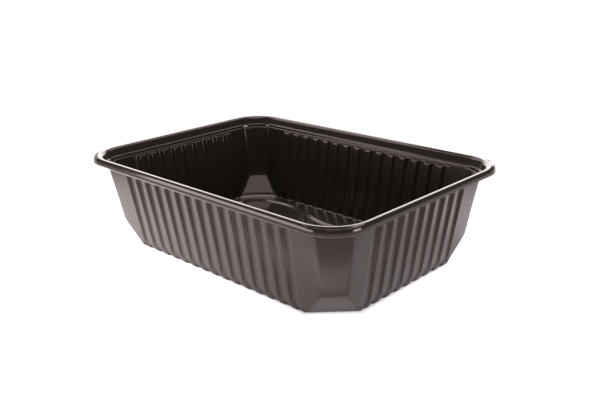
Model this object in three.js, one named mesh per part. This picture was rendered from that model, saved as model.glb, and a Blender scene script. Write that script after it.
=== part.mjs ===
// Plastic food tray: a fluted meal tray formed from one sheet, with a round-cornered rim and an open top.
// Millimetres, +Z up, the long side along X, the underside's middle at the origin.
import * as THREE from 'three';

// overall sizes
const LENGTH = 187.6;
const WIDTH = 134.6;
const HEIGHT = 50;
const SHEET = 0.8;

// rim: a narrow flange that slopes down at the corners to a squarer skirt, and a stepped recess inside it
const SKIRT_RADIUS = 15.2;
const SKIRT_DROP = 3.2;
const SKIRT_FLARE = 0.4;
const FLANGE_RADIUS = 21.6;
const FLANGE_START = 0.6;
const FLANGE_WIDTH = 2.5;
const SLOPE_DROP = 0.8;
const RECESS_DEPTH = 4.5;
const RECESS_DRAFT = 1.6;
const LEDGE_WIDTH = 0.8;
const STEP_DROP = 1.7;
const STEP_DRAFT = 0.3;
const ARC_STEPS = 6;

// wall: the half length at the foot and its lean, outside face of the plain panels
const FOOT_HALF_LENGTH = 80;
const WALL_LEAN = 0.174;
const WALL_TOP = 42.5;

// corner panels: the cut across each corner at the foot, at the panel's lower end and at the wall's top
const CORNER_CUT_FOOT = 17.9;
const CORNER_CUT_MID = 8;
const CORNER_CUT_TOP = 11.2;
const CORNER_BREAK = 13.2;

// flutes pressed into the walls, deepest at the top
const FLUTE_PITCH = 8.24;
const FLUTES_LONG = 15;
const FLUTES_SHORT = 9;
const FLUTE_WIDTH = 5.4;
const FLUTE_DEPTH_TOP = 1.7;
const FLUTE_DEPTH_FOOT = 0.6;
const FLUTE_FOOT = 2.4;
const FLUTE_END = 0.7;
const FLUTE_STEPS = 5;
const FLUTE_FULLNESS = 0.7;
const FLUTE_INNER_GROWTH = 0.45;
const FLUTE_MARGIN = 0.4;

// floor: a bead pressed up round it, waisted at the long sides, and a middle that lies a little higher
const BEAD_HALF_LENGTH = 75.5;
const BEAD_HALF_WIDTH = 48;
const BEAD_WAIST = 0.25;
const BEAD_WAIST_POWER = 6;
const BEAD_SQUARENESS = 5;
const BEAD_RISE = 1.5;
const BEAD_CREST = 2.1;
const BEAD_WIDTH = 5;
const BEAD_STEPS = 64;
const MIDDLE_LIFT = 0.3;

// Half length of the plain panels' outside face at a height.
function halfLength(z) {
  return FOOT_HALF_LENGTH + WALL_LEAN * z;
}

// Length cut off each side by the corner panel at a height.
function cornerCut(z) {
  if (z < CORNER_BREAK) {
    return THREE.MathUtils.lerp(CORNER_CUT_FOOT, CORNER_CUT_MID, z / CORNER_BREAK);
  }
  return THREE.MathUtils.mapLinear(z, CORNER_BREAK, WALL_TOP, CORNER_CUT_MID, CORNER_CUT_TOP);
}

// Depth of the flutes at a height.
function fluteDepth(z) {
  return THREE.MathUtils.mapLinear(z, FLUTE_FOOT, WALL_TOP, FLUTE_DEPTH_FOOT, FLUTE_DEPTH_TOP);
}

// Columns of one side: the place along it and the share of the flute depth there, from end to end.
// Where the corner panels leave too little room, at the foot, the flutes stand a little closer.
function sideColumns(count, halfWidth, end) {
  const last = ((count - 1) / 2) * FLUTE_PITCH + halfWidth;
  const squeeze = Math.min(1, (end - FLUTE_MARGIN) / last);
  const columns = [{ along: -end, share: 0 }];
  for (let flute = 0; flute < count; flute += 1) {
    const middle = (flute - (count - 1) / 2) * FLUTE_PITCH;
    for (let step = 0; step <= FLUTE_STEPS; step += 1) {
      const turn = (Math.PI * step) / FLUTE_STEPS;
      const share = step % FLUTE_STEPS ? Math.sin(turn) ** FLUTE_FULLNESS : 0;
      columns.push({ along: squeeze * (middle - halfWidth * Math.cos(turn)), share });
    }
  }
  columns.push({ along: end, share: 0 });
  return columns;
}

// Closed outline of the wall at a height, anticlockwise from above, its flutes at a share of their depth.
function wallRing(z, shapeZ, inset, press) {
  const a = halfLength(shapeZ) - inset;
  const b = a - (LENGTH - WIDTH) / 2;
  const cut = cornerCut(shapeZ) - inset * (2 - Math.SQRT2);
  const halfWidth = FLUTE_WIDTH / 2 + (inset > 0 ? FLUTE_INNER_GROWTH : 0);
  const points = [];
  for (let side = 0; side < 4; side += 1) {
    const isLong = side % 2 === 0;
    const reach = isLong ? b : a;
    const end = (isLong ? a : b) - cut;
    for (const column of sideColumns(isLong ? FLUTES_LONG : FLUTES_SHORT, halfWidth, end)) {
      const out = reach - press * fluteDepth(shapeZ) * column.share;
      const point = new THREE.Vector3(column.along, -out, z);
      points.push(point.applyAxisAngle(new THREE.Vector3(0, 0, 1), (side * Math.PI) / 2));
    }
  }
  return points;
}

// Round-cornered outline a distance inside the rim's edge, anticlockwise from above.
// The corners of all rings with the same outer radius share their centres.
function rimRing(inset, z, outerRadius) {
  const radius = outerRadius - inset;
  const points = [];
  for (let corner = 0; corner < 4; corner += 1) {
    const signX = corner === 1 || corner === 2 ? 1 : -1;
    const signY = corner > 1 ? 1 : -1;
    const centreX = signX * (LENGTH / 2 - outerRadius);
    const centreY = signY * (WIDTH / 2 - outerRadius);
    for (let step = 0; step <= ARC_STEPS; step += 1) {
      const turn = Math.PI + (Math.PI / 2) * (corner + step / ARC_STEPS);
      const x = centreX + radius * Math.cos(turn);
      const y = centreY + radius * Math.sin(turn);
      points.push(new THREE.Vector3(x, y, z));
    }
  }
  return points;
}

// Outline a distance inside the floor bead's outer foot, anticlockwise from above.
function beadRing(inset, z) {
  const points = [];
  for (let step = 0; step < BEAD_STEPS; step += 1) {
    const turn = -0.75 * Math.PI + (2 * Math.PI * step) / BEAD_STEPS;
    const across = Math.abs(Math.cos(turn)) ** BEAD_SQUARENESS;
    const up = Math.abs(Math.sin(turn)) ** BEAD_SQUARENESS;
    const reach = (across + up) ** (-1 / BEAD_SQUARENESS);
    const shareX = reach * Math.cos(turn);
    const shareY = reach * Math.sin(turn);
    const waist = 1 - BEAD_WAIST * (1 - shareX ** 2) ** BEAD_WAIST_POWER;
    const x = (BEAD_HALF_LENGTH - inset) * shareX;
    const y = (BEAD_HALF_WIDTH - inset) * shareY * waist;
    points.push(new THREE.Vector3(x, y, z));
  }
  return points;
}

// Rings of one face of the floor, from its middle over the bead to the bead's outer foot.
function floorRings(lift) {
  return [
    beadRing(BEAD_WIDTH, lift + MIDDLE_LIFT),
    beadRing(BEAD_CREST, lift + BEAD_RISE),
    beadRing(0, lift),
  ];
}

// Angle of a point about the middle, measured from the near left corner.
function angleOf(point) {
  const turn = Math.atan2(point.y / WIDTH, point.x / LENGTH) + 0.8 * Math.PI;
  return THREE.MathUtils.euclideanModulo(turn, 2 * Math.PI);
}

// A ring started at its point of smallest angle.
function started(ring) {
  const angles = ring.map(angleOf);
  const first = angles.indexOf(Math.min(...angles));
  return [...ring.slice(first), ...ring.slice(0, first)];
}

// Triangles of the strip between two rings of one closed path.
// Rings of unlike counts are met angle by angle.
function strip(from, to) {
  const triangles = [];
  if (from.length === to.length) {
    for (let i = 0; i < from.length; i += 1) {
      const next = (i + 1) % from.length;
      triangles.push([from[i], from[next], to[next]], [from[i], to[next], to[i]]);
    }
    return triangles;
  }
  const lower = started(from);
  const upper = started(to);
  let i = 0;
  let j = 0;
  while (i < lower.length || j < upper.length) {
    const lowerNext = lower[(i + 1) % lower.length];
    const upperNext = upper[(j + 1) % upper.length];
    const lowerAngle = i + 1 < lower.length ? angleOf(lowerNext) : 2 * Math.PI + angleOf(lowerNext);
    const upperAngle = j + 1 < upper.length ? angleOf(upperNext) : 2 * Math.PI + angleOf(upperNext);
    const stepLower = j >= upper.length || (i < lower.length && lowerAngle <= upperAngle);
    if (stepLower) {
      triangles.push([lower[i], lowerNext, upper[j % upper.length]]);
      i += 1;
    } else {
      triangles.push([lower[i % lower.length], upperNext, upper[j]]);
      j += 1;
    }
  }
  return triangles;
}

// Triangles closing a ring to its middle, at the start or the end of the path.
function cap(ring, isStart) {
  const middle = new THREE.Vector3(0, 0, ring[0].z);
  return ring.map((point, i) => {
    const next = ring[(i + 1) % ring.length];
    return isStart ? [middle, next, point] : [point, next, middle];
  });
}

// Rings of the inside or outside face of the wall from its foot to its top.
function wallRings(inset) {
  return [
    wallRing(inset, 0, inset, 0),
    wallRing(inset + FLUTE_FOOT, FLUTE_FOOT, inset, 1),
    wallRing(inset + CORNER_BREAK, CORNER_BREAK, inset, 1),
    wallRing(inset + WALL_TOP - FLUTE_END, WALL_TOP - FLUTE_END, inset, 1),
    wallRing(inset + WALL_TOP, WALL_TOP, inset, 0),
  ];
}

// Steps of the recess from the wall up to the flange, moved by a sheet thickness for the outside face.
function recessRings(shift) {
  const edge = FLANGE_START + FLANGE_WIDTH;
  const ledge = edge + RECESS_DRAFT;
  const step = ledge + LEDGE_WIDTH;
  const steps = [
    [step + STEP_DRAFT, RECESS_DEPTH + STEP_DROP],
    [step, RECESS_DEPTH],
    [ledge, RECESS_DEPTH],
    [edge, 0],
  ];
  return steps.map(([inset, drop]) => rimRing(inset - shift, HEIGHT - drop - shift, FLANGE_RADIUS));
}

// Rings from under the flange round the skirt to the flange's outer edge.
function skirtRings() {
  return [
    rimRing(FLANGE_START + SHEET, HEIGHT - SHEET, FLANGE_RADIUS),
    rimRing(SKIRT_FLARE + SHEET, HEIGHT - SLOPE_DROP - SHEET, SKIRT_RADIUS),
    rimRing(SHEET, HEIGHT - SKIRT_DROP, SKIRT_RADIUS),
    rimRing(0, HEIGHT - SKIRT_DROP, SKIRT_RADIUS),
    rimRing(SKIRT_FLARE, HEIGHT - SLOPE_DROP, SKIRT_RADIUS),
    rimRing(FLANGE_START, HEIGHT, FLANGE_RADIUS),
  ];
}

// The whole sheet as one closed path of rings: underside, outside, rim, inside, floor.
function trayGeometry() {
  const rings = [
    ...floorRings(0),
    ...wallRings(0),
    ...recessRings(SHEET),
    ...skirtRings(),
    ...recessRings(0).reverse(),
    ...wallRings(SHEET).reverse(),
    ...floorRings(SHEET).reverse(),
  ];
  const triangles = [...cap(rings[0], true)];
  for (let i = 0; i + 1 < rings.length; i += 1) {
    triangles.push(...strip(rings[i], rings[i + 1]));
  }
  triangles.push(...cap(rings[rings.length - 1], false));
  const geometry = new THREE.BufferGeometry().setFromPoints(triangles.flat());
  geometry.computeVertexNormals();
  return geometry;
}

const plastic = new THREE.MeshStandardMaterial({ color: 0x1c1b1d, roughness: 0.35, metalness: 0 });
const tray = new THREE.Mesh(trayGeometry(), plastic);
tray.name = 'tray';

const group = new THREE.Group();
group.name = 'plastic_food_tray';
group.add(tray);

export default group;
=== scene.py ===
"""Black fluted food tray, formed from one sheet of polypropylene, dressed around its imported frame."""

import logging
import math
from collections import defaultdict
from collections.abc import Sequence
from dataclasses import dataclass, field
from enum import Enum

import bmesh
import bpy
from mathutils import Matrix, Vector


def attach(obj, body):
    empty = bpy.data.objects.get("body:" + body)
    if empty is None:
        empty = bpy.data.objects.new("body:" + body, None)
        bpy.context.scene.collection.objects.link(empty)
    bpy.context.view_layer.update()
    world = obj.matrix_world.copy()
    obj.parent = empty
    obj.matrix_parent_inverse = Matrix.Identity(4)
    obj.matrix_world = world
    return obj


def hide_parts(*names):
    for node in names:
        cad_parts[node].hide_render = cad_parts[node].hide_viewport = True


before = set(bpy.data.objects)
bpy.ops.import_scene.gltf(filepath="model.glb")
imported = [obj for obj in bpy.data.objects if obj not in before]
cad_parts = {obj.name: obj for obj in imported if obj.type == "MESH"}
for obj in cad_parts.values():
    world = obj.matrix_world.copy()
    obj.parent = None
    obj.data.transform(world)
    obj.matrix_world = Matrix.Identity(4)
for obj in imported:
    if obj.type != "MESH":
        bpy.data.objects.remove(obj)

MM = 0.001
PHOTO_WIDTH_PX = 600.0
SENSOR_WIDTH_MM = 36.0
DIAGONAL = 45.0
# points move in whole steps, and those within the slack or the merging distance count as one
STEPS_PER_M = 1e7
LEVEL_SLACK_M = 1e-6
MIRROR_MERGE_MM = 0.01
DOUBLES_MERGE_MM = 0.005
log = logging.getLogger("food_tray")


class Zone(Enum):
    """Part of the tray's quarter that a column of points runs up."""

    LONG_SIDE = "long side"
    CORNER = "corner"
    SHORT_SIDE = "short side"


class SheetFace(Enum):
    """The two faces of the formed sheet, in the order of their material slots."""

    OUTSIDE = 0
    INSIDE = 1


def linear(colour: str) -> tuple[float, float, float, float]:
    """Turns an sRGB hex colour into linear values.

    Args:
        colour: Six hex digits, with or without a leading hash.

    Returns:
        Red, green, blue and a full alpha, linear.
    """
    digits = colour.lstrip("#")
    parts = [int(digits[i : i + 2], 16) / 255 for i in (0, 2, 4)]
    values = [p / 12.92 if p <= 0.04045 else ((p + 0.055) / 1.055) ** 2.4 for p in parts]
    return values[0], values[1], values[2], 1.0


def add_node(
    tree: bpy.types.NodeTree,
    kind: str,
    settings: dict | None = None,
    inputs: dict | None = None,
    links: dict | None = None,
) -> bpy.types.Node:
    """Adds one shader node with its settings, socket values and links.

    Args:
        tree: Node tree that takes the node.
        kind: Node type name.
        settings: Node properties by name.
        inputs: Socket values by socket name or index.
        links: Output sockets by the name or index of the input that they feed.

    Returns:
        The new node.
    """
    node = tree.nodes.new(kind)
    for name, value in (settings or {}).items():
        setattr(node, name, value)
    for name, value in (inputs or {}).items():
        node.inputs[name].default_value = value
    for name, socket in (links or {}).items():
        tree.links.new(socket, node.inputs[name])
    return node


def smooth_step(low: float, high: float, value: float) -> float:
    """Eases from 0 at low to 1 at high."""
    share = min(1.0, max(0.0, (value - low) / (high - low)))
    return share * share * (3 - 2 * share)


def filleted(corners: Sequence[tuple[float, float, float]], steps: int = 5) -> list[tuple[float, float]]:
    """Rounds the corners of a profile.

    Args:
        corners: Inset, height and radius of each corner, in mm.
        steps: Points on each rounding.

    Returns:
        Inset and height of the profile's points.
    """
    points = [corners[0][:2]]
    for before, corner, after in zip(corners, corners[1:], corners[2:]):
        middle = Vector(corner[:2])
        back = (Vector(before[:2]) - middle).normalized()
        onward = (Vector(after[:2]) - middle).normalized()
        half = 0.5 * back.angle(onward)
        centre = middle + (back + onward).normalized() * corner[2] / math.sin(half)
        first = middle + back * corner[2] / math.tan(half) - centre
        last = middle + onward * corner[2] / math.tan(half) - centre
        turn = first.angle_signed(last)
        for i in range(steps):
            points.append(tuple(centre + Matrix.Rotation(-turn * i / (steps - 1), 2) @ first))
    return [*points, corners[-1][:2]]


def direction(azimuth: float, elevation: float = 0.0) -> Vector:
    """Turns a direction in degrees, anticlockwise from +X and up from the table, into a unit vector."""
    az, el = math.radians(azimuth), math.radians(elevation)
    return Vector((math.cos(az) * math.cos(el), math.sin(az) * math.cos(el), math.sin(el)))


def deselect_objects() -> None:
    """Leaves object mode with nothing selected."""
    if bpy.context.object and bpy.context.object.mode != "OBJECT":
        bpy.ops.object.mode_set(mode="OBJECT")
    bpy.ops.object.select_all(action="DESELECT")


def make_active(piece: bpy.types.Object) -> None:
    """Selects one object alone and makes it active."""
    deselect_objects()
    piece.select_set(True)
    bpy.context.view_layer.objects.active = piece


@dataclass(frozen=True)
class SatinPolypropylene:
    """Outside face of the sheet: black polypropylene, left satin by the mould's fine blasting.

    It gives the eye soft grey reflections of the table on a near black ground, and a faint orange peel.

    Attributes:
        name: Name of the material.
        colour: Colour of the plastic.
        roughness: Mean roughness.
        roughness_swing: Most that the roughness departs from its mean.
        ior: Index of refraction.
        specular: Strength of the reflections.
        tint: Colour of the reflections.
        peel_mm: Size of the orange peel's bumps.
        peel_height_mm: Height of the bumps.
        cloud_mm: Size of the clouds of more and less gloss.
        cloud_span: Noise values at which the gloss is least and most.
    """

    name: str = "polypropylene_black_satin"
    colour: str = "#1f1a18"
    roughness: float = 0.25
    roughness_swing: float = 0.04
    ior: float = 1.49
    specular: float = 0.4
    tint: str = "#ffe8e8"
    peel_mm: float = 1.1
    peel_height_mm: float = 0.004
    cloud_mm: float = 18.0
    cloud_span: tuple[float, float] = (0.3, 0.7)

    def build(self) -> bpy.types.Material:
        """Builds the material.

        Returns:
            The finished material.
        """
        material = bpy.data.materials.new(self.name)
        material.use_nodes = True
        tree = material.node_tree
        tree.nodes.clear()
        place = add_node(tree, "ShaderNodeTexCoord")
        # cloudy change of gloss where the sheet was drawn more or less
        cloud = add_node(
            tree,
            "ShaderNodeTexNoise",
            inputs={"Scale": 1 / (self.cloud_mm * MM), "Detail": 3.0, "Roughness": 0.6},
            links={"Vector": place.outputs["Object"]},
        )
        gloss = add_node(
            tree,
            "ShaderNodeMapRange",
            inputs={
                "From Min": self.cloud_span[0],
                "From Max": self.cloud_span[1],
                "To Min": self.roughness - self.roughness_swing,
                "To Max": self.roughness + self.roughness_swing,
            },
            links={"Value": cloud.outputs["Fac"]},
        )
        # orange peel of the cooled sheet
        peel = add_node(
            tree,
            "ShaderNodeTexNoise",
            inputs={"Scale": 1 / (self.peel_mm * MM), "Detail": 2.0, "Roughness": 0.5},
            links={"Vector": place.outputs["Object"]},
        )
        bump = add_node(
            tree,
            "ShaderNodeBump",
            inputs={"Strength": 1.0, "Distance": self.peel_height_mm * MM},
            links={"Height": peel.outputs["Fac"]},
        )
        plastic = add_node(
            tree,
            "ShaderNodeBsdfPrincipled",
            inputs={
                "Base Color": linear(self.colour),
                "IOR": self.ior,
                "Specular IOR Level": self.specular,
                "Specular Tint": linear(self.tint),
            },
            links={"Roughness": gloss.outputs["Result"], "Normal": bump.outputs["Normal"]},
        )
        add_node(tree, "ShaderNodeOutputMaterial", links={"Surface": plastic.outputs["BSDF"]})
        return material


@dataclass(frozen=True)
class GlossPolypropylene(SatinPolypropylene):
    """Inside face of the sheet: black polypropylene as the polished roll left it.

    It gives the eye a deep black with sharp bright lines on the ledges, the rib ends and the rim.
    """

    name: str = "polypropylene_black_gloss"
    colour: str = "#2a2823"
    roughness: float = 0.1
    roughness_swing: float = 0.02
    specular: float = 0.5
    peel_height_mm: float = 0.002


def ramp(
    tree: bpy.types.NodeTree,
    value: bpy.types.NodeSocket,
    span: tuple[float, float],
    ends: tuple[float, float] = (0.0, 1.0),
    unit: float = MM,
) -> bpy.types.NodeSocket:
    """Adds a soft rise from one value to another along a distance.

    Args:
        tree: Node tree to add to.
        value: Socket that gives the distance.
        span: Distances where the rise starts and ends.
        ends: Values before and after the rise.
        unit: Unit of the span, where 1 is the socket's own.

    Returns:
        The socket of the risen value.
    """
    node = add_node(
        tree,
        "ShaderNodeMapRange",
        settings={"interpolation_type": "SMOOTHSTEP"},
        inputs={
            "From Min": span[0] * unit,
            "From Max": span[1] * unit,
            "To Min": ends[0],
            "To Max": ends[1],
        },
        links={"Value": value},
    )
    return node.outputs["Result"]


def distance_towards(
    tree: bpy.types.NodeTree, place: bpy.types.NodeSocket, azimuth: float, elevation: float = 0.0
) -> bpy.types.NodeSocket:
    """Adds the distance of a place from the tray's middle in one direction.

    Args:
        tree: Node tree to add to.
        place: Socket that gives the place.
        azimuth: Direction in degrees, anticlockwise from +X.
        elevation: Height of the direction in degrees.

    Returns:
        The socket of the distance.
    """
    node = add_node(
        tree,
        "ShaderNodeVectorMath",
        settings={"operation": "DOT_PRODUCT"},
        inputs={1: direction(azimuth, elevation)},
        links={0: place},
    )
    return node.outputs["Value"]


def reckon(
    tree: bpy.types.NodeTree,
    operation: str,
    *values: bpy.types.NodeSocket | float,
) -> bpy.types.NodeSocket:
    """Adds one sum.

    Args:
        tree: Node tree to add to.
        operation: Name of the sum.
        values: Its sockets and numbers, in order.

    Returns:
        The socket of the result.
    """
    numbers = {i: value for i, value in enumerate(values) if isinstance(value, float)}
    sockets = {i: value for i, value in enumerate(values) if i not in numbers}
    node = add_node(
        tree,
        "ShaderNodeMath",
        settings={"operation": operation},
        inputs=numbers,
        links=sockets,
    )
    return node.outputs["Value"]


@dataclass(frozen=True)
class OpalLightTable:
    """Opal acrylic of a light table, lit from below.

    It gives the eye a plain white ground with a thin painted shade at the tray's foot, and gives the
    walls a pale ground to mirror that is painted brighter towards the far side and before the front
    corner.

    Attributes:
        radiance: Brightness far from the tray; 1 is the picture's white.
        far_azimuth: Direction of the far side in degrees, anticlockwise from +X.
        far_mm: Distances from the tray's middle where the light on the far side starts and is full.
        far_light: Light that is added round the tray on the near side and on the far side.
        right_azimuth: Direction of the right end in degrees.
        right_mm: Distances from the tray's middle where the light at the right end starts and is full.
        right_light: Light that is added there.
        pool_mm: Distances beyond the foot where the added light starts to wane and where it ends.
        foot_mm: Half length and half width of the tray's foot.
        foot_cut_mm: Length that the foot's corners cut off each side.
        shade_mm: Distances beyond the foot where the tray's painted shade is full and where it ends.
        shade: Share of the light that the painted shade leaves under the tray.
        ring_mm: Distances beyond the foot where a brighter painted ring of light starts, is full, wanes
            and ends.
        front_azimuth: Direction in degrees in which the ring gets brighter.
        front_mm: Distances from the tray's middle where the ring starts to brighten and is brightest.
        ring_light: Light that the ring adds elsewhere and before the front corner.
    """

    name: str = "opal_acrylic_light_table"
    colour: str = "#fff8f8"
    radiance: float = 1.13
    far_azimuth: float = 155.0
    far_mm: tuple[float, float] = (-120.0, 80.0)
    far_light: tuple[float, float] = (-0.05, 2.4)
    right_azimuth: float = 60.0
    right_mm: tuple[float, float] = (90.0, 120.0)
    right_light: float = 0.9
    pool_mm: tuple[float, float] = (60.0, 110.0)
    foot_mm: tuple[float, float] = (80.0, 53.5)
    foot_cut_mm: float = 17.9
    shade_mm: tuple[float, float] = (-3.0, 3.5)
    shade: float = 0.1
    ring_mm: tuple[float, float, float, float] = (12.0, 26.0, 30.0, 50.0)
    front_azimuth: float = -60.0
    front_mm: tuple[float, float] = (84.0, 115.0)
    ring_light: tuple[float, float] = (0.12, 3.0)

    def beyond_foot(
        self, tree: bpy.types.NodeTree, place: bpy.types.NodeSocket
    ) -> bpy.types.NodeSocket:
        """Adds the distance beyond the outline of the tray's foot.

        Args:
            tree: Node tree to add to.
            place: Socket that gives the place.

        Returns:
            The socket of the distance.
        """
        folded = add_node(
            tree,
            "ShaderNodeVectorMath",
            settings={"operation": "ABSOLUTE"},
            links={0: place},
        )
        sides = add_node(tree, "ShaderNodeSeparateXYZ", links={0: folded.outputs["Vector"]})
        beyond_x = reckon(tree, "SUBTRACT", sides.outputs["X"], self.foot_mm[0] * MM)
        beyond_y = reckon(tree, "SUBTRACT", sides.outputs["Y"], self.foot_mm[1] * MM)
        cut = (sum(self.foot_mm) - self.foot_cut_mm) * math.sqrt(0.5) * MM
        diagonal = distance_towards(tree, folded.outputs["Vector"], DIAGONAL)
        beyond_corner = reckon(tree, "SUBTRACT", diagonal, cut)
        beyond_sides = reckon(tree, "MAXIMUM", beyond_x, beyond_y)
        return reckon(tree, "MAXIMUM", beyond_sides, beyond_corner)

    def build(self) -> bpy.types.Material:
        """Builds the material.

        Returns:
            The finished material.
        """
        material = bpy.data.materials.new(self.name)
        material.use_nodes = True
        tree = material.node_tree
        tree.nodes.clear()
        place = add_node(tree, "ShaderNodeTexCoord").outputs["Object"]
        beyond = self.beyond_foot(tree, place)
        afar = distance_towards(tree, place, self.far_azimuth)
        far = ramp(tree, afar, self.far_mm, self.far_light)
        aside = distance_towards(tree, place, self.right_azimuth)
        right = ramp(tree, aside, self.right_mm, (0.0, self.right_light))
        pool = ramp(tree, beyond, self.pool_mm, (1.0, 0.0))
        added = reckon(tree, "ADD", far, right)
        brightness = reckon(tree, "MULTIPLY_ADD", added, pool, self.radiance)
        # painted shade of the tray round its foot, and a painted ring of light beyond it
        shade = ramp(tree, beyond, self.shade_mm, (self.shade, 1.0))
        rise = ramp(tree, beyond, self.ring_mm[:2])
        wane = ramp(tree, beyond, self.ring_mm[2:], (1.0, 0.0))
        before = distance_towards(tree, place, self.front_azimuth)
        ring_light = ramp(tree, before, self.front_mm, self.ring_light)
        ring = reckon(tree, "MULTIPLY", reckon(tree, "MULTIPLY", rise, wane), ring_light)
        glow = add_node(
            tree,
            "ShaderNodeEmission",
            inputs={"Color": linear(self.colour)},
            links={"Strength": reckon(tree, "MULTIPLY_ADD", brightness, shade, ring)},
        )
        add_node(tree, "ShaderNodeOutputMaterial", links={"Surface": glow.outputs["Emission"]})
        return material


@dataclass(frozen=True)
class Column:
    """One column of points of the tray's quarter, from the foot to the rim.

    Attributes:
        zone: Side or corner that it runs up.
        along: Place from the side's middle in mm, or the column's number in the corner.
        flute: Distance from the nearest flute's middle in mm, or None where the wall is plain.
        panel: Share of the plain end panel's width, or None outside it.
    """

    zone: Zone
    along: float
    flute: float | None = None
    panel: float | None = None


@dataclass(frozen=True)
class WallRing:
    """Ring of points round the wall.

    Attributes:
        z: Height in mm.
        out: Distance of the plain panels' plane beyond its place at the foot, in mm.
        cut_z: Height at which the corner's cut is read, in mm.
        press: Share of the flutes' depth.
        depth_z: Height at which the flutes' depth is read, in mm.
        face: Face of the sheet.
        curl: Share of the rounding-in of the ridges' feet.
        bow: Swelling of the sides' middles in mm.
    """

    z: float
    out: float
    cut_z: float
    press: float
    depth_z: float
    face: SheetFace
    curl: float = 0.0
    bow: float = 0.0


@dataclass(frozen=True)
class RimRing:
    """Round-cornered ring of points on the rim.

    Attributes:
        inset: Distance inside the rim's edge along the sides, in mm.
        z: Height in mm.
        ear: 0 on the flange's round corners, 1 on the skirt's squarer ones.
    """

    inset: float
    z: float
    ear: float = 0.0


@dataclass
class SheetChain:
    """A chain of edges that is drawn up ring by ring into one quarter of the sheet."""

    name: str
    count: int
    finishes: Sequence[bpy.types.Material]
    piece: bpy.types.Object = field(init=False)
    faces_done: int = 0

    def start(self, points: Sequence[Vector]) -> None:
        """Makes the first chain from a circle, opened and moved into place.

        Args:
            points: Places of the columns, in mm.
        """
        deselect_objects()
        bpy.ops.mesh.primitive_circle_add(vertices=self.count, radius=MM, fill_type="NOTHING")
        self.piece = bpy.context.object
        self.piece.name = self.name
        for finish in self.finishes:
            self.piece.data.materials.append(finish)
        bpy.ops.object.mode_set(mode="EDIT")
        bpy.ops.mesh.select_mode(type="EDGE")
        mesh = bmesh.from_edit_mesh(self.piece.data)
        number = mesh.verts.layers.int.new("column")
        mesh.verts.ensure_lookup_table()
        for i, point in enumerate(mesh.verts):
            point[number] = i
        for edge in mesh.edges:
            ends = {v[number] for v in edge.verts}
            edge.select_set(ends == {0, self.count - 1})
        mesh.select_flush_mode()
        bpy.ops.mesh.delete(type="EDGE")
        bpy.ops.mesh.select_mode(type="VERT")
        bpy.ops.mesh.select_all(action="SELECT")
        self._move_to(points)

    def draw_to(self, points: Sequence[Vector]) -> None:
        """Extrudes the last ring and moves its columns to new places.

        Args:
            points: Places of the columns, in mm.
        """
        bpy.ops.mesh.extrude_region()
        self._move_to(points)

    def dress_new_faces(self, slot: int) -> None:
        """Gives the faces drawn since the last call one material slot.

        Args:
            slot: Number of the material slot.
        """
        mesh = bmesh.from_edit_mesh(self.piece.data)
        mesh.faces.ensure_lookup_table()
        for face in mesh.faces[self.faces_done :]:
            face.material_index = slot
        self.faces_done = len(mesh.faces)

    def _move_to(self, points: Sequence[Vector]) -> None:
        """Moves the selected ring's columns, those that move alike together.

        Args:
            points: Places of the columns, in mm.
        """
        mesh = bmesh.from_edit_mesh(self.piece.data)
        number = mesh.verts.layers.int["column"]
        ring = [v for v in mesh.verts if v.select]
        moves: dict[tuple[int, ...], list[bmesh.types.BMVert]] = defaultdict(list)
        for vert in ring:
            step = points[vert[number]] * MM - vert.co
            moves[tuple(round(x * STEPS_PER_M) for x in step)].append(vert)
        bpy.ops.mesh.select_all(action="DESELECT")
        for step, verts in moves.items():
            if not any(step):
                continue
            for vert in verts:
                vert.select_set(True)
            bpy.ops.transform.translate(value=[x / STEPS_PER_M for x in step])
            for vert in verts:
                vert.select_set(False)
        for vert in ring:
            vert.select_set(True)
        mesh.select_flush_mode()

    def mirrored(self) -> bpy.types.Object:
        """Mirrors the quarter to the whole sheet.

        Returns:
            The whole piece.
        """
        make_active(self.piece)
        for axis in (0, 1):
            mirror = self.piece.modifiers.new("mirror", "MIRROR")
            mirror.use_axis = [axis == 0, axis == 1, False]
            mirror.use_clip = True
            mirror.merge_threshold = MIRROR_MERGE_MM * MM
            bpy.ops.object.modifier_apply(modifier=mirror.name)
        return self.piece


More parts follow.
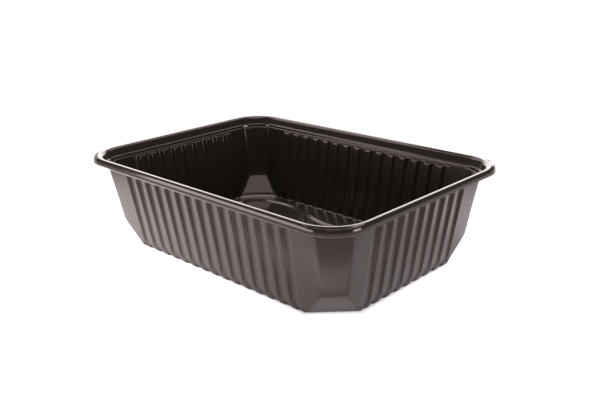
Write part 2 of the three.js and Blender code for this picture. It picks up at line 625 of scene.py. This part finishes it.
@dataclass
class FoodTray:
    """The tray: sizes in mm, and the way its sheet is drawn and dressed."""

    # rim, with round flange corners that slope down to squarer skirt corners
    length: float = 187.6
    width: float = 134.6
    height: float = 50.0
    sheet: float = 0.8
    flange_radius: float = 21.6
    skirt_radius: float = 18.2

    # wall and foot, with two flat rings inside the foot's rounding, the inner one bowed
    foot_half_length: float = 80.0
    wall_lean: float = 0.174
    wall_top: float = 42.6
    foot_round: float = 1.3
    foot_round_inside: float = 0.9
    foot_flat: tuple[float, float] = (1.0, 0.4)
    foot_bow: float = 0.2

    # corner panels, which widen to a facet below the break, and the plain strips held beside their edges
    cut_foot: float = 17.9
    cut_mid: float = 8.0
    cut_top: float = 11.2
    cut_break: float = 13.2
    cut_soft: float = 1.2
    edge_round: float = 2.0
    edge_round_foot: float = 4.5
    edge_room: float = 0.3
    edge_hold: float = 3.0
    edge_hold_share: float = 0.4

    # flutes, shallower and drawn together by the fan's share at the foot; the inside rib is wider
    flute_pitch: float = 8.24
    flutes_long: int = 15
    flutes_short: int = 9
    flute_floor: float = 1.35
    flute_brim: float = 2.85
    flute_depth_top: float = 1.7
    flute_depth_foot: float = 0.6
    flute_growth: float = 0.35
    flute_fan: float = 0.03
    ridge_curl: float = 0.45
    groove_curl: float = 0.3

    # floor, with a rounded rectangular bead that is waisted at the long sides
    bead_half_length: float = 75.5
    bead_half_width: float = 48.0
    bead_waist: float = 0.25
    bead_waist_power: float = 6.0
    bead_squareness: float = 5.0
    bead_rise: float = 1.5
    middle_lift: float = 0.3

    # points of the mesh
    flute_steps: tuple[float, ...] = (0.0, 1.0, 1.6, 1.95, 2.3, 2.65, 3.0, 3.5)
    panel_shares: tuple[float, float] = (0.3, 0.65)
    corner_columns: int = 15
    fillet_columns: int = 5
    foot_steps: int = 5
    bead_columns: int = 41
    smooth_angle: float = 50.0
    finishes: list[bpy.types.Material] = field(init=False)
    piece: bpy.types.Object = field(init=False)

    def dress(self, outside: SatinPolypropylene, inside: GlossPolypropylene) -> None:
        """Makes the finishes of the sheet's two faces, which the faces take as they are drawn.

        Args:
            outside: Finish of the outside face.
            inside: Finish of the inside face.
        """
        self.finishes = [outside.build(), inside.build()]

    def edge_radius(self, z: float) -> float:
        """Radius of the corner panels' edges at a height; they are rounder towards the foot."""
        share = smooth_step(0.0, self.cut_break, z)
        return self.edge_round_foot + share * (self.edge_round - self.edge_round_foot)

    @staticmethod
    def edge_tangent(radius: float) -> float:
        """Length that the rounding of a corner panel's edge takes off each of its two faces."""
        return radius * math.tan(math.pi / 8)

    def lift(self, face: SheetFace) -> float:
        """Height of a face of the sheet above the underside."""
        return self.sheet if face is SheetFace.INSIDE else 0.0

    def corner_cut(self, z: float) -> float:
        """Length that the corner panel cuts off each side at a height.

        Args:
            z: Height in mm.

        Returns:
            The cut in mm, with the break between panel and foot facet rounded.
        """
        low = (self.cut_mid - self.cut_foot) / self.cut_break
        high = (self.cut_top - self.cut_mid) / (self.wall_top - self.cut_break)
        above = z - self.cut_break
        middle = self.cut_mid + 0.5 * (low + high) * above
        return middle + 0.5 * (high - low) * math.hypot(above, self.cut_soft)

    def flute_depth(self, z: float) -> float:
        """Depth of the flutes at a height."""
        share = z / self.wall_top
        return self.flute_depth_foot + share * (self.flute_depth_top - self.flute_depth_foot)

    def flute_share(self, distance: float, face: SheetFace) -> float:
        """Share of the flute's depth at a distance from its middle.

        Args:
            distance: Distance in mm.
            face: Face of the sheet, because the inside rib is wider than the outside groove.

        Returns:
            1 on the groove's floor, 0 on the ridge.
        """
        wider = self.flute_growth if face is SheetFace.INSIDE else 0.0
        return 1 - smooth_step(self.flute_floor + wider, self.flute_brim + wider, distance)

    def side_columns(self, zone: Zone, flutes: int) -> list[Column]:
        """Columns of half a side, from its middle to its plain end panel.

        Args:
            zone: Side that they run up.
            flutes: Number of flutes on the whole side.

        Returns:
            The columns in order from the middle.
        """
        columns = [Column(zone, step, step) for step in self.flute_steps]
        columns.append(Column(zone, self.flute_pitch / 2, self.flute_pitch / 2))
        for flute in range(1, (flutes - 1) // 2 + 1):
            middle = flute * self.flute_pitch
            for step in reversed(self.flute_steps[1:]):
                columns.append(Column(zone, middle - step, step))
            for step in self.flute_steps:
                columns.append(Column(zone, middle + step, step))
            if flute < (flutes - 1) // 2:
                columns.append(Column(zone, middle + self.flute_pitch / 2, self.flute_pitch / 2))
        columns.extend(Column(zone, columns[-1].along, None, share) for share in self.panel_shares)
        return columns

    def columns(self) -> list[Column]:
        """All columns of the quarter, from the long side's middle to the short side's."""
        corner = [Column(Zone.CORNER, i) for i in range(self.corner_columns)]
        long_side = self.side_columns(Zone.LONG_SIDE, self.flutes_long)
        short_side = self.side_columns(Zone.SHORT_SIDE, self.flutes_short)
        return long_side + corner + short_side[::-1]

    def corner_points(
        self, a: float, b: float, cut: float, radius: float, spare: dict[Zone, float]
    ) -> list[tuple[float, float]]:
        """Points of one corner panel, its two edges rounded.

        Args:
            a: Half length of the ring.
            b: Half width of the ring.
            cut: Length cut off each side.
            radius: Radius of the panel's edges.
            spare: Room between the last flute and the corner on each side.

        Returns:
            Points from the long side to the short side.
        """
        start = cut + self.edge_tangent(radius)
        turns = [math.pi / 4 * i / (self.fillet_columns - 1) for i in range(self.fillet_columns)]
        edge = [(radius * math.sin(t) - start, radius - radius * math.cos(t)) for t in turns]
        first = [(a + along, inward - b) for along, inward in edge]
        last = [(a - inward, -b - along) for along, inward in reversed(edge)]
        inner = self.corner_columns - 2 * self.fillet_columns - 2
        middle = []
        for i in range(1, inner + 1):
            share = i / (inner + 1)
            middle.append(tuple(p + share * (q - p) for p, q in zip(first[-1], last[0])))
        hold = {
            zone: min(self.edge_hold, max(self.edge_room, self.edge_hold_share * room))
            for zone, room in spare.items()
        }
        before = (first[0][0] - hold[Zone.LONG_SIDE], -b)
        after = (a, last[-1][1] + hold[Zone.SHORT_SIDE])
        return [before, *first, *middle, *last, after]

    def wall_points(self, ring: WallRing, columns: Sequence[Column]) -> list[Vector]:
        """Places of all columns on one ring of the wall.

        Args:
            ring: The ring.
            columns: The quarter's columns.

        Returns:
            Places in mm.
        """
        inset = self.sheet * math.hypot(1, self.wall_lean) if ring.face is SheetFace.INSIDE else 0.0
        a = self.foot_half_length + ring.out - inset
        b = a - (self.length - self.width) / 2
        shrink = self.foot_half_length + self.wall_lean * ring.cut_z - a
        cut = self.corner_cut(ring.cut_z) - shrink * (2 - math.sqrt(2))
        radius = self.edge_radius(ring.cut_z)
        start = cut + self.edge_tangent(radius)
        fan = 1 - self.flute_fan * (1 - ring.cut_z / self.wall_top)
        ends = {Zone.LONG_SIDE: a - start, Zone.SHORT_SIDE: b - start}
        lasts = {
            zone: fan * max(c.along for c in columns if c.zone is zone and c.flute is not None)
            for zone in ends
        }
        spare = {zone: ends[zone] - lasts[zone] for zone in ends}
        corner = self.corner_points(a, b, cut, radius, spare)
        limits = {Zone.LONG_SIDE: corner[0][0], Zone.SHORT_SIDE: -corner[-1][1]}
        depth = ring.press * self.flute_depth(ring.depth_z)
        places = []
        for column in columns:
            if column.zone is Zone.CORNER:
                x, y = corner[int(column.along)]
                places.append(Vector((x, y, ring.z)))
                continue
            limit = limits[column.zone]
            along = self.squeezed(fan * column.along, lasts[column.zone], limit)
            if column.panel is not None:
                along += column.panel * (limit - along)
            push = 0.0
            if column.flute is not None:
                share = self.flute_share(column.flute, ring.face)
                curl = self.ridge_curl * (1 - share) - self.groove_curl * share
                push = depth * share + ring.curl * curl
            swell = ring.bow * (1 - (along / limit) ** 2) - push
            if column.zone is Zone.LONG_SIDE:
                places.append(Vector((along, -b - swell, ring.z)))
            else:
                places.append(Vector((a + swell, -along, ring.z)))
        return places

    def squeezed(self, along: float, last: float, limit: float) -> float:
        """Place along a side, moved in where the corner's foot facet leaves too little room.

        Args:
            along: Place from the side's middle.
            last: Place of the last flute's outer edge.
            limit: Place where the corner begins.

        Returns:
            The place, or one nearer the middle.
        """
        room = limit - self.edge_room
        start = last - self.flute_pitch
        if last <= room or along <= start:
            return along
        return start + (along - start) * (room - start) / (last - start)

    def rim_points(self, ring: RimRing, columns: Sequence[Column]) -> list[Vector]:
        """Places of all columns on one ring of the rim.

        Args:
            ring: The ring.
            columns: The quarter's columns.

        Returns:
            Places in mm.
        """
        outer = self.flange_radius + ring.ear * (self.skirt_radius - self.flange_radius)
        radius = outer - ring.inset
        centre_x = self.length / 2 - outer
        centre_y = self.width / 2 - outer
        places = []
        for column in columns:
            if column.zone is Zone.CORNER:
                turn = math.pi / 2 * column.along / (self.corner_columns - 1)
                x = centre_x + radius * math.sin(turn)
                y = -centre_y - radius * math.cos(turn)
            elif column.zone is Zone.LONG_SIDE:
                x = column.along + (column.panel or 0.0) * (centre_x - column.along)
                y = -centre_y - radius
            else:
                x = centre_x + radius
                y = -column.along - (column.panel or 0.0) * (centre_y - column.along)
            places.append(Vector((x, y, ring.z)))
        return places

    def foot_rings(self, face: SheetFace) -> list[WallRing]:
        """Rings of the flat foot and of its rounding into the wall, from the floor up.

        Args:
            face: Face of the sheet.

        Returns:
            The rings.
        """
        lift = self.lift(face)
        radius = self.foot_round_inside if face is SheetFace.INSIDE else self.foot_round
        turn = math.pi / 2 - math.atan(self.wall_lean)
        start = radius * math.tan(turn / 2)
        rings = [
            WallRing(lift, -start - inset, 0.0, 0.0, 0.0, face, bow=bow)
            for inset, bow in zip(self.foot_flat, (self.foot_bow, 0.0))
        ]
        for i in range(self.foot_steps):
            angle = turn * i / (self.foot_steps - 1)
            z = lift + radius * (1 - math.cos(angle))
            out = -start + radius * math.sin(angle)
            rings.append(WallRing(z, out, z - lift, 0.0, 0.0, face, curl=1.0))
        return rings

    def wall_rings(self, face: SheetFace) -> list[WallRing]:
        """Rings of the leaning wall from the foot's rounding to the flutes' tops.

        Args:
            face: Face of the sheet.

        Returns:
            The rings.
        """
        lift = self.lift(face)
        # height, share of the flutes' depth and share of the rounding-in of the ridges' feet
        heights = [(2.3, 0.55, 0.55), (3.6, 0.95, 0.15)]
        plain = (5.2, 10.8, 12.2, self.cut_break, 14.2, 15.6, 18.5, 38.0)
        heights += [(z, 1.0, 0.0) for z in plain]
        # height and share of the flutes' depth, where the flutes run out under the rim
        tops = [(41.3, 1.0), (41.9, 0.94), (42.25, 0.62), (42.45, 0.2), (self.wall_top, 0.0)]
        if face is SheetFace.INSIDE:
            tops = [
                (41.6, 1.0),
                (42.0, 0.985),
                (42.25, 0.93),
                (42.38, 0.8),
                (42.45, 0.6),
                (42.52, 0.3),
                (self.wall_top, 0.0),
            ]
        heights += [(z, press, 0.0) for z, press in tops]
        return [
            WallRing(z + lift, self.wall_lean * (z + lift), z + 0.5 * lift, press, z, face, curl)
            for z, press, curl in heights
        ]

    def rim_rings(self) -> tuple[list[RimRing], list[RimRing]]:
        """Rings of the rim, each from its inset, height and share of the squarer corner.

        Returns:
            Rings under recess and skirt, and rings up the skirt, over the flange and down the recess.
        """
        under = [
            (6.3, 42.95),
            (6.1, 43.05),
            (5.75, 43.15),
            (5.35, 43.3),
            (5.12, 43.6),
            (5.0, 44.1),
            (4.85, 44.55),
            (4.62, 44.76),
            (4.3, 44.87),
            (4.05, 45.05),
            (3.88, 45.38),
            (3.78, 45.75),
            (2.72, 48.85),
            (2.58, 49.05),
            (2.35, 49.16),
            (2.05, 49.2),
            (1.6, 49.2),
            (1.25, 49.1, 0.1),
            (1.1, 48.9, 0.45),
            (1.02, 48.65, 0.85),
            (0.98, 48.3, 1.0),
            (0.8, 46.95, 1.0),
            (0.7, 46.84, 1.0),
            (0.35, 46.8, 1.0),
            (-0.08, 46.8, 1.0),
        ]
        skirt = [
            (-0.14, 46.84, 1.0),
            (-0.14, 46.9, 1.0),
            (-0.12, 47.15, 1.0),
            (-0.06, 47.7, 1.0),
            (0.02, 48.15, 1.0),
            (0.2, 48.7, 1.0),
            (0.36, 49.15, 1.0),
            (0.38, 49.19, 1.0),
            (0.61, 49.58, 1.0),
            (0.63, 49.62, 0.96),
            (0.69, 49.71, 0.72),
            (0.75, 49.8, 0.45),
            (0.8, 49.89, 0.2),
            (0.85, 49.97, 0.0),
        ]
        top = filleted(
            [
                (0.93, self.height, 0.0),
                (3.45, self.height, 2.2),
                (4.88, 45.6, 0.3),
                (6.05, 45.5, 0.42),
                (6.2, 44.0, 0.3),
                (7.03, 43.85, 0.22),
                (7.05, 43.6, 0.0),
            ]
        )
        return [RimRing(*values) for values in under], [RimRing(*values) for values in skirt + top]

    def bead_points(self, inset: float, z: float) -> list[Vector]:
        """Outline of the floor bead's quarter, waisted at the long sides.

        Args:
            inset: Distance inside the bead's outer foot, in mm.
            z: Height in mm.

        Returns:
            Places in mm.
        """
        power = self.bead_squareness
        places = []
        for i in range(self.bead_columns):
            turn = math.pi / 2 * i / (self.bead_columns - 1)
            across = math.sin(turn)
            up = math.cos(turn) if i < self.bead_columns - 1 else 0.0
            stretch = (across**power + up**power) ** (-1 / power)
            share_x = stretch * across
            share_y = stretch * up
            waist = 1 - self.bead_waist * (1 - share_x**2) ** self.bead_waist_power
            x = (self.bead_half_length - inset) * share_x
            y = -(self.bead_half_width - inset) * share_y * waist
            places.append(Vector((x, y, z)))
        return places

    def draw_wall(self) -> bpy.types.Object:
        """Draws wall and rim as one path from the underside round the rim to the floor.

        Returns:
            The whole wall, mirrored from its quarter.
        """
        columns = self.columns()
        chain = SheetChain("tray_wall", len(columns), self.finishes)
        outside = self.foot_rings(SheetFace.OUTSIDE) + self.wall_rings(SheetFace.OUTSIDE)
        inside = self.foot_rings(SheetFace.INSIDE) + self.wall_rings(SheetFace.INSIDE)
        under, over = self.rim_rings()
        chain.start(self.wall_points(outside[0], columns))
        for ring in outside[1:]:
            chain.draw_to(self.wall_points(ring, columns))
        for ring in under:
            chain.draw_to(self.rim_points(ring, columns))
        chain.dress_new_faces(SheetFace.OUTSIDE.value)
        for ring in over:
            chain.draw_to(self.rim_points(ring, columns))
        for ring in reversed(inside):
            chain.draw_to(self.wall_points(ring, columns))
        chain.dress_new_faces(SheetFace.INSIDE.value)
        return chain.mirrored()

    def draw_bead(self, face: SheetFace) -> bpy.types.Object:
        """Draws one face of the bead that is pressed up round the floor.

        Args:
            face: Face of the sheet.

        Returns:
            The bead's face, mirrored from its quarter.
        """
        lift = self.lift(face)
        low = self.middle_lift
        high = self.bead_rise
        # distance inside the bead's outer foot, and height
        profile = [
            (-0.6, 0.0),
            (0.0, 0.0),
            (0.4, 0.05 * high),
            (0.9, 0.4 * high),
            (1.4, 0.8 * high),
            (1.8, 0.97 * high),
            (2.1, high),
            (2.5, low + 0.96 * (high - low)),
            (3.0, low + 0.8 * (high - low)),
            (3.7, low + 0.42 * (high - low)),
            (4.4, low + 0.1 * (high - low)),
            (4.9, low + 0.01 * (high - low)),
            (5.5, low),
            (6.3, low),
        ]
        chain = SheetChain(f"tray_bead_{face.name.lower()}", self.bead_columns, self.finishes)
        chain.start(self.bead_points(profile[0][0], lift + profile[0][1]))
        for inset, rise in profile[1:]:
            chain.draw_to(self.bead_points(inset, lift + rise))
        chain.dress_new_faces(face.value)
        return chain.mirrored()

    def close_floor(self, face: SheetFace) -> None:
        """Closes the flat ring round the floor bead and the floor's middle on one face.

        Args:
            face: Face of the sheet.
        """
        lift = self.lift(face) * MM
        for level, is_middle in ((lift, False), (lift + self.middle_lift * MM, True)):
            bpy.ops.mesh.select_all(action="DESELECT")
            mesh = bmesh.from_edit_mesh(self.piece.data)
            before = len(mesh.faces)
            for edge in mesh.edges:
                if edge.is_boundary and all(abs(v.co.z - level) < LEVEL_SLACK_M for v in edge.verts):
                    edge.select_set(True)
            mesh.select_flush_mode()
            if is_middle:
                bpy.ops.mesh.edge_face_add()
            else:
                bpy.ops.mesh.fill(use_beauty=True)
            mesh = bmesh.from_edit_mesh(self.piece.data)
            mesh.faces.ensure_lookup_table()
            for new in mesh.faces[before:]:
                new.material_index = face.value

    def build(self) -> bpy.types.Object:
        """Models the whole tray as one closed sheet.

        Returns:
            The finished piece.
        """
        wall = self.draw_wall()
        beads = [self.draw_bead(face) for face in SheetFace]
        deselect_objects()
        for part in (wall, *beads):
            part.select_set(True)
        bpy.context.view_layer.objects.active = wall
        bpy.ops.object.join()
        self.piece = wall
        self.piece.name = "tray_sheet"
        self.piece.data.name = "tray_sheet"
        bpy.ops.object.mode_set(mode="EDIT")
        bpy.ops.mesh.select_mode(type="EDGE")
        for face in SheetFace:
            self.close_floor(face)
        bpy.ops.mesh.select_all(action="SELECT")
        bpy.ops.mesh.remove_doubles(threshold=DOUBLES_MERGE_MM * MM)
        bpy.ops.mesh.normals_make_consistent(inside=False)
        bpy.ops.object.mode_set(mode="OBJECT")
        bpy.ops.object.shade_smooth_by_angle(angle=math.radians(self.smooth_angle))
        return self.piece


@dataclass(frozen=True)
class Softbox:
    """One soft light panel that faces the tray.

    Attributes:
        name: Name of the light.
        azimuth: Direction from the tray in degrees, anticlockwise from +X.
        elevation: Height above the table in degrees.
        distance: Distance from the tray in m.
        width: Width in m.
        height: Height in m.
        radiance: Brightness of its face; 1 is the picture's white.
    """

    name: str
    azimuth: float
    elevation: float
    distance: float
    width: float
    height: float
    radiance: float

    def build(self, colour: tuple[float, ...]) -> None:
        """Hangs the light.

        Args:
            colour: Linear colour of the light.
        """
        towards = direction(self.azimuth, self.elevation)
        deselect_objects()
        bpy.ops.object.light_add(type="AREA", location=towards * self.distance)
        panel = bpy.context.object
        panel.name = self.name
        panel.rotation_euler = towards.to_track_quat("Z", "Y").to_euler()
        panel.data.shape = "RECTANGLE"
        panel.data.size = self.width
        panel.data.size_y = self.height
        panel.data.color = colour[:3]
        panel.data.energy = math.pi * self.width * self.height * self.radiance
        panel.visible_camera = False


@dataclass
class Studio:
    """Light table, soft lights and backdrop round the tray.

    Attributes:
        table_size: Side of the light table in m.
        light_colour: Colour of the lights and of the backdrop.
        backdrop_azimuth: Direction of the pale backdrop in degrees, anticlockwise from +X.
        backdrop_elevation: Height of the backdrop's middle in degrees.
        backdrop_edge: Cosines of the angles from its middle where it ends and where it is full.
        backdrop_radiance: Brightness of the backdrop's middle.
        room_radiance: Brightness of the room behind the camera.
        ceiling_edge: Sines of the heights where the dark ceiling begins and where it is full.
        ceiling_share: Share of the brightness that the ceiling has.
        softboxes: The soft lights.
    """

    table_size: float = 60.0
    light_colour: str = "#fff6f6"
    backdrop_azimuth: float = 145.0
    backdrop_elevation: float = 10.0
    backdrop_edge: tuple[float, float] = (0.75, 0.95)
    backdrop_radiance: float = 1.0
    room_radiance: float = 0.1
    ceiling_edge: tuple[float, float] = (0.45, 0.65)
    ceiling_share: float = 0.1
    softboxes: tuple[Softbox, ...] = (
        Softbox("back_softbox", 132.0, 22.0, 1.1, 1.05, 0.55, 3.4),
        Softbox("right_high_softbox", 93.0, 52.0, 1.1, 0.45, 0.45, 3.5),
        Softbox("left_high_softbox", 187.0, 46.0, 1.1, 1.1, 0.55, 3.0),
        Softbox("top_softbox", 134.0, 88.0, 1.2, 0.85, 0.85, 4.0),
        Softbox("front_softbox", -46.0, 58.0, 1.2, 0.6, 0.4, 1.8),
        Softbox("left_softbox", 240.5, 7.0, 1.0, 0.8, 0.25, 6.2),
        Softbox("right_softbox", 12.0, 10.5, 1.1, 0.42, 0.22, 9.0),
    )

    def build(self) -> None:
        """Sets up the table, the lights and the backdrop."""
        self.lay_table()
        self.hang_backdrop()
        for softbox in self.softboxes:
            softbox.build(linear(self.light_colour))

    def lay_table(self) -> None:
        """Lays the light table under the tray."""
        deselect_objects()
        bpy.ops.mesh.primitive_plane_add(size=self.table_size, location=(0, 0, 0))
        table = bpy.context.object
        table.name = "table"
        table.data.materials.append(OpalLightTable().build())

    def hang_backdrop(self) -> None:
        """Gives the surroundings a pale backdrop on the far side and a dim room on the near side."""
        world = bpy.data.worlds.new("studio")
        bpy.context.scene.world = world
        world.use_nodes = True
        tree = world.node_tree
        tree.nodes.clear()
        place = add_node(tree, "ShaderNodeTexCoord").outputs["Generated"]
        nearness = distance_towards(tree, place, self.backdrop_azimuth, self.backdrop_elevation)
        radiances = (self.room_radiance, self.backdrop_radiance)
        brightness = ramp(tree, nearness, self.backdrop_edge, radiances, unit=1.0)
        # the backdrop ends at a height, with the dark ceiling above it
        height = add_node(tree, "ShaderNodeSeparateXYZ", links={0: place}).outputs["Z"]
        below = ramp(tree, height, self.ceiling_edge, (1.0, self.ceiling_share), unit=1.0)
        light = add_node(
            tree,
            "ShaderNodeBackground",
            inputs={"Color": linear(self.light_colour)},
            links={"Strength": reckon(tree, "MULTIPLY", brightness, below)},
        )
        add_node(tree, "ShaderNodeOutputWorld", links={"Surface": light.outputs["Background"]})


@dataclass(frozen=True)
class PhotoCamera:
    """Camera at the photo's viewing angle, from a fit to the tray's edges.

    Attributes:
        focal_px: Focal length in pixels of the photo.
        azimuth: Direction from the tray in degrees, anticlockwise from -Y.
        elevation: Height above the table in degrees.
        roll: Turn about the line of sight in degrees.
        distance: Distance from the tray's origin in mm.
        aside: Shift to the right in mm.
        above: Shift upwards in the picture in mm.
        clip_m: Nearest and farthest distance that is seen, in m.
    """

    focal_px: float = 749.8
    azimuth: float = 43.78
    elevation: float = 19.1
    roll: float = -1.165
    distance: float = 416.0
    aside: float = 6.71
    above: float = 24.6
    clip_m: tuple[float, float] = (0.01, 50.0)

    def build(self) -> None:
        """Places the camera and makes it the scene's own."""
        az, el, roll = (math.radians(x) for x in (self.azimuth, self.elevation, self.roll))
        back = Vector((math.sin(az) * math.cos(el), -math.cos(az) * math.cos(el), math.sin(el)))
        right = Vector((math.cos(az), math.sin(az), 0))
        up = back.cross(right)
        eye = (back * self.distance + right * self.aside + up * self.above) * MM
        across = right * math.cos(roll) + up * math.sin(roll)
        upward = up * math.cos(roll) - right * math.sin(roll)
        lens = bpy.data.cameras.new("photo_camera")
        lens.sensor_width = SENSOR_WIDTH_MM
        lens.lens = self.focal_px * SENSOR_WIDTH_MM / PHOTO_WIDTH_PX
        lens.clip_start, lens.clip_end = self.clip_m
        camera = bpy.data.objects.new("photo_camera", lens)
        bpy.context.scene.collection.objects.link(camera)
        turn = Matrix((across, upward, back)).transposed().to_4x4()
        camera.matrix_world = Matrix.Translation(eye) @ turn
        bpy.context.scene.camera = camera


def main() -> None:
    """Builds the tray, its finishes, the studio and the camera."""
    logging.basicConfig(level=logging.INFO, format="%(message)s")
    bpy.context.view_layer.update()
    tray = FoodTray()
    tray.dress(SatinPolypropylene(), GlossPolypropylene())
    piece = tray.build()
    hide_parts("tray")
    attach(piece, "root")
    log.info("%s: %d faces", piece.name, len(piece.data.polygons))
    Studio().build()
    PhotoCamera().build()
    bpy.context.scene.view_settings.view_transform = "Standard"


if __name__ == "__main__":
    main()
